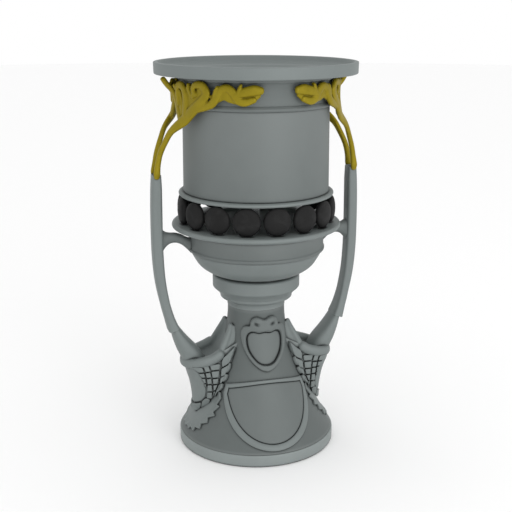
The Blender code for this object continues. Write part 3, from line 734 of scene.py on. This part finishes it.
# Shelves: a thick roll round the top of the console, and two fins that run up the stem
shelf = {"roll width": 6.0, "roll height": 6.8,
         "roll": [(56.0, -26.4, 129.0), (64.0, -27.4, 124.6), (76.0, -26.4, 120.6), (88.0, -20.5, 117.4),
                  (95.0, -10.5, 115.8), (97.2, 0.0, 115.2)],
         "fin": [(56.0, -25.0, 127.0), (51.0, -22.6, 136.0), (45.6, -20.2, 146.0), (41.2, -18.0, 155.0),
                 (38.6, -15.8, 163.5)],
         "fin width": [4.2, 4.6, 4.6, 4.2, 3.0],
         # distance, half width, height and dip of the hollow floor between the fins and inside the roll
         "floor": [(38.0, 15.0, 163.0, 4.0), (40.4, 18.0, 155.0, 5.0), (45.0, 20.2, 146.0, 6.0),
                   (50.4, 22.6, 136.0, 6.5), (56.0, 25.0, 127.5, 6.0), (64.0, 26.0, 122.5, 4.5),
                   (75.0, 25.0, 119.5, 3.0), (86.0, 20.0, 116.5, 2.0), (94.0, 11.0, 114.5, 1.0)],
         "floor depth": 7.0}


def makeShelf(label, side):
    bm = bmesh.new()
    front = shelf["roll"]
    points = front + [(x, -y, z) for x, y, z in front[-2::-1]]
    path = [mirrored(p, side, 1) for p in smoothPath(points, 80)]
    up = [Vector((0, 0, 1)) for _ in path]
    bar(bm, path, [shelf["roll width"]] * 81, [shelf["roll height"]] * 81, up, sides=24, power=2.3)
    for face in (1, -1):
        ridge = smoothPath(shelf["fin"], 30)
        widths = spread(shelf["fin width"], 30)
        out = [Vector((p.x, p.y, 0)).normalized() for p in ridge]
        bar(bm, [mirrored(p, side, face) for p in ridge], widths, widths * 1.1,
            [mirrored(n, side, face) for n in out], sides=16)
        rings = []
        for p, n, width in zip(ridge, out, widths):
            across = Vector((-n.y, n.x, 0)) * width * 0.85
            foot = n * (skirtRadius(p.z) - 2.0)
            foot.z = p.z
            corners = [p + across, p - across, foot - across * 2.0, foot + across * 2.0]
            rings.append([mirrored(c, side, face) for c in corners])
        skin(bm, rings)
    rings = []
    stops = smoothPath([stop[:3] for stop in shelf["floor"]], 40)
    dips = spread([stop[3] for stop in shelf["floor"]], 40)
    for i, (x, half, z) in enumerate(stops):
        ahead, behind = stops[min(i + 1, 40)], stops[max(i - 1, 0)]
        under = Vector((ahead.z - behind.z, 0, behind.x - ahead.x)).normalized() * shelf["floor depth"]
        top = [Vector((x, half * t, z - dips[i] * (1 - t * t))) for t in np.linspace(-1, 1, 17)]
        rings.append([mirrored(p, side, 1) for p in top + [p + under for p in top[::-1]]])
    skin(bm, rings)
    finishPiece(f"{label}Shelf", castMesh("shelf", bm, 0.8, 8), paintedLightWornSilver, "silver", f"{label}_shelf")


for label, side in (("left", -1), ("right", 1)):
    makeConsole(label, side)
    makeLeaf(label, side)
    makeShelf(label, side)
    for edge, face in (("Front", 1), ("Back", -1)):
        node = f"{label}_{edge.lower()}"
        makeWing(node, side, face)
print("consoles, wings and leaves made")

# Turned stack from the collar to the rim, as (radius, height, rounding) outlines
# the rim, flange, foot, lower bowl and collar listed last take the lighter plate: painted light that
# brightens them, with some wear
stack = {"gap": 0.3, "rod hole": 5.3, "body radius": 92.0, "body wall": 3.0,
         "worn": ("rim", "flange", "cup_foot", "lower_bowl", "collar")}


def makeStack():
    hole = stack["rod hole"]
    gap = stack["gap"]
    wide = stack["body radius"]
    inside = wide - stack["body wall"]
    collarTop = highest("collar").z
    bowlTop = highest("lower_bowl").z
    drumTop = highest("drum").z
    flangeTop = highest("flange").z
    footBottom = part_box("cup_foot")[0].z / mm
    footTop = highest("cup_foot").z
    bodyTop = highest("cup_body").z
    neckTop = highest("cup_neck").z
    top = highest("rim").z
    rimRadius = highest("rim").x
    collar = [(hole, shellTop + gap, 0), (37.6, shellTop + gap, 0), (37.8, 193.4, 2), (41.0, 196.6, 1.5),
              (45.8, 197.6, 0.8), (46.9, 198.8, 0.6), (46.9, 201.6, 0.8), (50.5, 206.8, 3),
              (55.4, 211.0, 1.2), (56.7, 212.6, 1), (56.7, 226.8, 1.2), (55.0, collarTop, 1.0),
              (hole, collarTop, 0)]
    bowl = [(hole, collarTop + gap, 0), (50.0, collarTop + gap, 0), (50.0, 232.9, 0.4), (60.0, 232.9, 1.2),
            (65.5, 236.0, 3), (70.4, 239.4, 3), (73.8, 242.4, 2), (76.5, 245.6, 3), (80.2, 251.7, 4),
            (82.6, 255.9, 3), (84.3, 259.2, 1.5), (84.6, bowlTop, 0.4), (79.0, bowlTop, 0), (76.2, 252.5, 3),
            (69.0, 243.0, 3), (60.0, 237.8, 3), (hole, 236.5, 0)]
    drum = [(80.0, bowlTop + gap, 0), (87.0, bowlTop + gap, 0.8), (88.3, 263.6, 0.8), (88.3, 265.8, 0.8),
            (87.0, 267.4, 0.9), (87.0, drumTop, 0), (80.0, drumTop, 0)]
    flange = [(hole, 290.6, 0), (79.0, 290.6, 0), (79.0, drumTop + gap, 0), (88.0, drumTop + gap, 1),
              (97.0, 289.2, 3), (104.5, 291.6, 3), (107.8, 293.2, 1.2), (108.4, 295.4, 1.4),
              (107.2, 298.0, 1.2),
              (104.6, flangeTop, 1), (80.0, flangeTop, 1), (76.0, 295.0, 1), (hole, 295.0, 0)]
    foot = [(hole, footBottom, 0), (97.4, footBottom, 1.2), (98.7, 335.4, 1), (98.7, 337.4, 1),
            (96.4, footTop, 1), (hole, footTop, 0)]
    body = [(hole, footTop + gap, 0), (wide + 0.9, footTop + gap, 0.4), (wide + 0.6, footTop + 4.0, 6),
            (wide, bodyTop, 0), (inside, bodyTop, 0), (inside, 356.0, 10), (80.0, footTop + 4.3, 12),
            (hole, footTop + 4.3, 0)]
    neck = [(inside, bodyTop + gap, 0), (93.2, bodyTop + gap, 0.7), (94.7, 448.0, 1), (94.7, 449.6, 1),
            (93.2, 452.2, 1), (92.4, 453.0, 1.2), (92.4, 463.0, 8), (94.2, 473.6, 6), (96.8, 479.4, 1),
            (99.2, 480.2, 0.5), (99.2, neckTop, 0), (wide, neckTop, 0)]
    rim = [(wide, neckTop + gap, 0), (rimRadius - 0.4, neckTop + gap, 1.2), (rimRadius, top - 0.6, 0.9),
           (122.4, top, 1.2), (121.0, top - 1.4, 1), (118.6, 493.6, 2), (111.6, 490.2, 3), (96.4, 488.8, 3)]
    shapes = {"collar": collar, "lower_bowl": bowl, "drum": drum, "flange": flange, "cup_foot": foot,
              "cup_body": body, "cup_neck": neck, "rim": rim}
    for node, outline in shapes.items():
        name = "turned" + "".join(word.capitalize() for word in node.split("_"))
        # painted light: the listed parts take the lighter copy of the plate
        finish = paintedLightWornSilver if node in stack["worn"] else silver
        finishPiece(name, turned(name, rounded(outline)), finish, "silver", node)


makeStack()
print("stack turned")

# Stone discs: one stone set on edge at each point of a ring, made by nodes
stones = {"count": 16, "ring radius": 95.0, "radius": 17.3, "half thickness": 6.6, "fullness": 0.82}


def stoneRingTree():
    tree = bpy.data.node_groups.new("stoneRing", "GeometryNodeTree")
    tree.is_modifier = True
    sockets = {}
    for name, kind in (("Count", "NodeSocketInt"), ("Ring Radius", "NodeSocketFloat"),
                       ("Height", "NodeSocketFloat"), ("Stone Radius", "NodeSocketFloat"),
                       ("Half Thickness", "NodeSocketFloat"), ("Fullness", "NodeSocketFloat"),
                       ("Material", "NodeSocketMaterial")):
        sockets[name] = tree.interface.new_socket(name, in_out="INPUT", socket_type=kind).identifier
    tree.interface.new_socket("Geometry", in_out="OUTPUT", socket_type="NodeSocketGeometry")
    given = addNode(tree, "NodeGroupInput")
    ball = addNode(tree, "GeometryNodeMeshUVSphere", {"Segments": 48, "Rings": 24, "Radius": 1.0})
    place = addNode(tree, "GeometryNodeInputPosition")
    parts = addNode(tree, "ShaderNodeSeparateXYZ", links={"Vector": place.outputs[0]})
    size = addNode(tree, "ShaderNodeMath", links={0: parts.outputs["Z"]}, operation="ABSOLUTE")
    full = addNode(tree, "ShaderNodeMath", links={0: size.outputs[0], 1: given.outputs["Fullness"]},
                   operation="POWER")
    sign = addNode(tree, "ShaderNodeMath", links={0: parts.outputs["Z"]}, operation="SIGN")
    flat = addNode(tree, "ShaderNodeMath", links={0: full.outputs[0], 1: sign.outputs[0]},
                   operation="MULTIPLY")
    shaped = addNode(tree, "ShaderNodeCombineXYZ",
                     links={"X": parts.outputs["X"], "Y": parts.outputs["Y"], "Z": flat.outputs[0]})
    fuller = addNode(tree, "GeometryNodeSetPosition", links={"Geometry": ball.outputs["Mesh"],
                                                             "Position": shaped.outputs[0]})
    scale = addNode(tree, "ShaderNodeCombineXYZ",
                    links={"X": given.outputs["Stone Radius"], "Y": given.outputs["Stone Radius"],
                           "Z": given.outputs["Half Thickness"]})
    single = addNode(tree, "GeometryNodeTransform", links={"Geometry": fuller.outputs[0],
                                                           "Scale": scale.outputs[0]})
    ring = addNode(tree, "GeometryNodeMeshCircle", links={"Vertices": given.outputs["Count"],
                                                          "Radius": given.outputs["Ring Radius"]})
    outward = addNode(tree, "FunctionNodeAlignRotationToVector", links={"Vector": place.outputs[0]}, axis="Z")
    copies = addNode(tree, "GeometryNodeInstanceOnPoints",
                     links={"Points": ring.outputs["Mesh"], "Instance": single.outputs[0],
                            "Rotation": outward.outputs[0]})
    height = addNode(tree, "ShaderNodeCombineXYZ", links={"Z": given.outputs["Height"]})
    lifted = addNode(tree, "GeometryNodeTransform", links={"Geometry": copies.outputs[0],
                                                           "Translation": height.outputs[0]})
    real = addNode(tree, "GeometryNodeRealizeInstances", links={"Geometry": lifted.outputs[0]})
    smooth = addNode(tree, "GeometryNodeSetShadeSmooth", links={0: real.outputs[0]})
    painted = addNode(tree, "GeometryNodeSetMaterial",
                      links={"Geometry": smooth.outputs[0], "Material": given.outputs["Material"]})
    addNode(tree, "NodeGroupOutput", links={"Geometry": painted.outputs[0]})
    return tree, sockets


def makeStones():
    tree, sockets = stoneRingTree()
    low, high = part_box("stone_disc_01")
    carrier = bpy.data.objects.new("stoneCarrier", bpy.data.meshes.new("stoneCarrier"))
    bpy.context.scene.collection.objects.link(carrier)
    ring = carrier.modifiers.new("ring", "NODES")
    ring.node_group = tree
    values = {"Count": stones["count"], "Ring Radius": stones["ring radius"] * mm,
              "Height": (low.z + high.z) / 2, "Stone Radius": stones["radius"] * mm,
              "Half Thickness": stones["half thickness"] * mm,
              "Fullness": stones["fullness"], "Material": stone}
    for name, value in values.items():
        ring[sockets[name]] = value
    bpy.context.view_layer.update()
    evaluated = carrier.evaluated_get(bpy.context.evaluated_depsgraph_get())
    mesh = bpy.data.meshes.new_from_object(evaluated)
    bpy.data.objects.remove(carrier)
    nodes = [f"stone_disc_{number + 1:02d}" for number in range(stones["count"])]
    finishPiece("stoneDiscs", mesh, stone, "black_stone", *nodes)


makeStones()
print("stones set")

# Handles: a flat strap with a socket at its top, a foot that spreads into the console, and a strut
handle = {"socket depth": 4.0, "lip": 1.6,
          "arm": [(128.6, 363.7), (128.9, 345), (129.4, 320), (129.6, 285), (129.0, 255), (126.6, 225),
                  (121.4, 196), (116.2, 176), (111.5, 161.5)],
          "arm width": [9.2, 10.0, 10.2, 10.2, 10.2, 10.2, 10.6, 12.3, 14.2],
          "corner": 0.45,  # 1 for an oval section, less for a squarer one
          "arm depth": [5.7, 6.6, 6.9, 6.9, 6.8, 6.4, 5.8, 6.1, 7.3],
          "foot": [(110.0, 162.4), (103.9, 149), (97.2, 137), (90, 126), (83.5, 113)],
          "foot width": [13.6, 15.2, 16.3, 17, 17], "foot depth": [5.6, 8.6, 11.2, 13.2, 14.5]}


def makeHandle(label, side):
    def swept(line, count):
        return [mirrored(p, side, 1) for p in smoothPath([(x, 0, z) for x, z in line], count)]

    bm = bmesh.new()
    count = 90
    path = swept(handle["arm"], count)
    out = [Vector((side, 0, 0)) for _ in path]
    widths = spread(handle["arm width"], count)
    depths = spread(handle["arm depth"], count)
    rings = []
    lip, deep = handle["lip"], handle["socket depth"]
    # the socket's mouth, as inset and drop below the top
    mouth = [(lip, deep), (lip, 0.6), (lip * 0.7, 0.0), (0.5, 0.0), (0.0, 0.6)]
    for i, point in enumerate(path):
        along = (path[min(i + 1, count)] - path[max(i - 1, 0)]).normalized()
        normal = (out[i] - out[i].dot(along) * along).normalized()
        across = along.cross(normal)
        steps = mouth if i == 0 else [(0.0, 0.0)]
        if i == count:
            steps = [(0.0, 0.0), (0.6, -0.5), (1.6, -0.7)]
        for inset, drop in steps:
            ring = []
            for k in range(32):
                turn = 2 * math.pi * (k + 0.5) / 32
                c, s = math.cos(turn), math.sin(turn)
                ring.append(point + along * drop
                            + across * (widths[i] - inset) * math.copysign(abs(c) ** handle["corner"], c)
                            + normal * (depths[i] - inset) * math.copysign(abs(s) ** handle["corner"], s))
            rings.append(ring)
    skin(bm, rings)
    finishPiece(f"{label}HandleArm", meshOf("handleArm", bm, 50), paintedLightWornSilver, "silver", f"{label}_handle_arm")

    bm = bmesh.new()
    path = swept(handle["foot"], 50)
    out = [Vector((side, 0, 0)) for _ in path]
    widths = spread(handle["foot width"], 50)
    depths = spread(handle["foot depth"], 50)
    bar(bm, path, widths, depths, out, sides=32, power=2.6)
    footMesh = meshOf("handleFoot", bm, 50)
    finishPiece(f"{label}HandleFoot", footMesh, paintedLightWornSilver, "silver", f"{label}_handle_foot")


strut = {"width": 6.2, "widening": 0.35, "slim half": 8.0, "widening over": 10.0,
         "slices": [(86.5, 271.0, 10.4), (88.9, 272.2, 8.8), (93.5, 275.6, 7.4), (99.0, 279.4, 6.6),
                    (106.0, 281.8, 6.4), (113.0, 281.8, 7.0), (118.5, 280.6, 9.6), (122.6, 279.4, 14.0),
                    (125.5, 279.0, 18.5)]}


def makeStrut(label, side):
    # upright slices of distance, middle height and half height
    rings = []
    for x, middle, half in smoothPath(strut["slices"], 60):
        extra = (half - strut["slim half"]) / strut["widening over"]
        wider = 1.0 + strut["widening"] * max(0.0, extra)
        ring = []
        for k in range(24):
            turn = 2 * math.pi * (k + 0.5) / 24
            c, s = math.cos(turn), math.sin(turn)
            ring.append(mirrored(Vector((x, strut["width"] * wider * math.copysign(abs(c) ** 0.8, c),
                                         middle + half * math.copysign(abs(s) ** 0.8, s))), side, 1))
        rings.append(ring)
    bm = bmesh.new()
    skin(bm, rings)
    finishPiece(f"{label}Strut", meshOf("strut", bm, 60), silver, "silver", f"{label}_strut")


for label, side in (("left", -1), ("right", 1)):
    makeHandle(label, side)
    makeStrut(label, side)
print("handles fitted")

# Gilded ornaments: each band is a list of (angle, height, radius) stops, its half widths and its half depth
ornament = {"voxel": 0.55, "smoothing": 6, "depth": 3.1, "sheet depth": 2.4}
goldBands = [
    ([(57, 447.5, 101.8), (47, 454.5, 101.4), (42.6, 463, 101.2), (40, 471, 101.2), (35, 474.6, 101.2),
      (30.6, 469, 101.2), (27.6, 461, 101.2), (23, 458.6, 101.2), (17, 461.6, 101.2)],
     [3.2, 4.8, 5.2, 5.0, 4.6, 5.0, 5.0, 4.8, 3.6]),
    ([(29.0, 466, 101.6), (23.5, 470, 102.0), (17, 472.4, 102.0), (12.2, 472, 101.8)], [3.0, 5.6, 6.4, 4.6]),
    ([(27.5, 468, 101.6), (26.4, 474, 101.8), (25.4, 478, 101.8)], [2.6, 2.6, 1.9]),
    ([(44, 464, 101.0), (43.0, 470, 101.4), (41.6, 475.0, 101.4)], [2.8, 3.0, 2.2]),
    ([(69.5, 437, 104.6), (70.6, 452, 102.2), (71.4, 464, 101.8), (74.4, 473.4, 102.6), (79, 473.6, 104.0),
      (80.6, 464, 103.6), (79.4, 452, 103.0)], [5.0, 5.2, 5.0, 4.8, 4.4, 3.8, 3.0]),
    ([(64, 463.6, 101.4), (66.4, 471, 101.8), (66.8, 476.2, 101.8)], [2.6, 2.8, 1.9]),
]
outerLeaf = ([(74, 431, 105.6), (81, 444, 102.8), (86, 455, 102.0), (87.6, 465, 105.0), (88.2, 473.4, 112.2),
              (88.6, 480.6, 117.2)], [4.2, 4.8, 4.8, 4.0, 3.0, 1.6])
# thin sheets behind the scrolls, which leave only shallow grooves between them
goldSheets = [
    ([(69, 437, 102.0), (67, 450, 100.2), (66.5, 462, 99.6), (67, 472, 99.8)], [6.0, 11.0, 13.5, 11.0]),
    ([(75, 440, 102.4), (79, 454, 101.0), (81, 466, 102.4), (83, 473, 106.0)], [4.0, 7.0, 6.0, 3.0]),
    ([(60.5, 447, 100.4), (56.6, 456, 99.8), (55.6, 466, 99.8), (56, 472, 99.8)], [5.0, 7.0, 8.0, 6.0]),
    ([(46, 460, 99.6), (38, 467, 99.6), (32, 465, 99.6), (26, 463.5, 99.6), (19, 465, 99.6), (14, 468, 99.6)],
     [6.0, 7.0, 8.0, 8.2, 7.4, 4.4]),
]
goldBerry = ([(62.4, 462.4, 101.2), (61.6, 465.4, 101.4), (61.2, 468.0, 101.2)], [3.0, 3.6, 3.0])
goldStrand = {"low": [(129.2, -9.6, 360.4), (129.0, -10.2, 366.0), (127.6, -9.8, 377), (124.6, -11.4, 391),
                      (118.8, -16.2, 406), (111.8, -23.0, 420)],
              "high": [(70.0, 434.0, 105.0), (61.5, 447.0, 102.8), (54.0, 458.0, 101.6),
                       (50.6, 467.0, 101.4), (53.6, 475.6, 101.6), (59.4, 476.4, 102.0),
                       (62.0, 470.6, 102.0), (59.6, 464.4, 101.6)],
              "widths": [1.6, 2.8, 3.4, 3.6, 3.9, 4.8, 7.4, 6.8, 6.2, 5.6, 5.0, 4.2, 3.4, 2.8],
              "depths": [3.4, 4.4, 3.6, 3.4, 3.3, 3.2, 3.1, 3.1, 3.1, 3.1, 3.1, 3.0, 2.8, 2.6]}


def makeOrnament(label, nodes, side, face):
    bm = bmesh.new()

    def lay(points, widths, depths, count):
        path = smoothPath(points, count)
        normals = [mirrored(Vector((p.x, p.y, 0)).normalized(), side, face) for p in path]
        bar(bm, [mirrored(p, side, face) for p in path], widths, depths, normals, sides=16, power=2.4)

    bands = [(stops, widths, ornament["depth"]) for stops, widths in goldBands + [outerLeaf, goldBerry]]
    bands += [(stops, widths, ornament["sheet depth"]) for stops, widths in goldSheets]
    for stops, widths, depth in bands:
        count = 10 * len(stops)
        lay([onCylinder(r, a, z) for a, z, r in stops], spread(widths, count), [depth] * (count + 1), count)
    stops = [Vector(p) for p in goldStrand["low"]] + [onCylinder(r, a, z) for a, z, r in goldStrand["high"]]
    lay(stops, spread(goldStrand["widths"], 120), spread(goldStrand["depths"], 120), 120)
    mesh = castMesh(label, bm, ornament["voxel"], ornament["smoothing"])
    finishPiece(label, mesh, gilt, "gilt", nodes)


for label, side in (("left", -1), ("right", 1)):
    for edge, face in (("Front", 1), ("Back", -1)):
        makeOrnament(f"{label}{edge}Ornament", f"{label}_{edge.lower()}_ornament", side, face)
print("ornaments gilded")

# Pieces that keep the frame's own shape
for node, material in (("felt_pad", felt), ("base_weight", castIron), ("tie_rod", zincSteel),
                       ("base_nut", zincSteel), ("cup_nut", zincSteel)):
    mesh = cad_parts[node].data
    mesh.materials.clear()
    mesh.materials.append(material)

# Floor, light and camera
studio = {"floor radius": 8.0, "floor": "fbfbfb", "sky": 1.0,
          "aim": (0, 0, 0.25),
          # name, power in watts, size and place in metres
          "lamps": [("keyLight", 18.0, 1.6, (0.6, -2.4, 0.8)), ("fillLight", 0.5, 1.8, (-1.8, -1.2, 0.9))],
          "camera turn": -15.8, "camera height": 15.0, "camera distance": 1.2445, "view angle": 30.0,
          "sensor": 36.0}


def makeStudio():
    bm = bmesh.new()
    bmesh.ops.create_circle(bm, cap_ends=True, segments=96, radius=studio["floor radius"])
    mesh = bpy.data.meshes.new("floor")
    bm.to_mesh(mesh)
    bm.free()
    floor = bpy.data.objects.new("floor", mesh)
    bpy.context.scene.collection.objects.link(floor)
    material, _, shader = newMaterial("pale_floor")
    shader.inputs["Base Color"].default_value = hexColor(studio["floor"])
    shader.inputs["Roughness"].default_value = 0.9
    mesh.materials.append(material)
    world = bpy.data.worlds.new("studioSky")
    world.use_nodes = True
    sky = world.node_tree.nodes["Background"]
    sky.inputs["Color"].default_value = (1.0, 1.0, 1.0, 1.0)
    sky.inputs["Strength"].default_value = studio["sky"]
    bpy.context.scene.world = world
    for name, power, size, place in studio["lamps"]:
        lamp = bpy.data.lights.new(name, "AREA")
        lamp.energy = power
        lamp.size = size
        holder = bpy.data.objects.new(name, lamp)
        holder.location = place
        aim = Vector(studio["aim"]) - Vector(place)
        holder.rotation_euler = aim.to_track_quat("-Z", "Y").to_euler()
        bpy.context.scene.collection.objects.link(holder)


def makeCamera():
    low, high = cadBox
    target = Vector((0, 0, (low.z + high.z) / 2))
    turn = math.radians(studio["camera turn"])
    lift = math.radians(studio["camera height"])
    back = Vector((math.sin(turn) * math.cos(lift), -math.cos(turn) * math.cos(lift), math.sin(lift)))
    lens = bpy.data.cameras.new("camera")
    lens.sensor_width = studio["sensor"]
    lens.lens = studio["sensor"] / 2 / math.tan(math.radians(studio["view angle"] / 2))
    camera = bpy.data.objects.new("camera", lens)
    camera.location = target + back * studio["camera distance"]
    camera.rotation_euler = (-back).to_track_quat("-Z", "Y").to_euler()
    bpy.context.scene.collection.objects.link(camera)
    bpy.context.scene.camera = camera
    bpy.context.scene.view_settings.view_transform = "Standard"


makeStudio()
makeCamera()
print("studio ready")
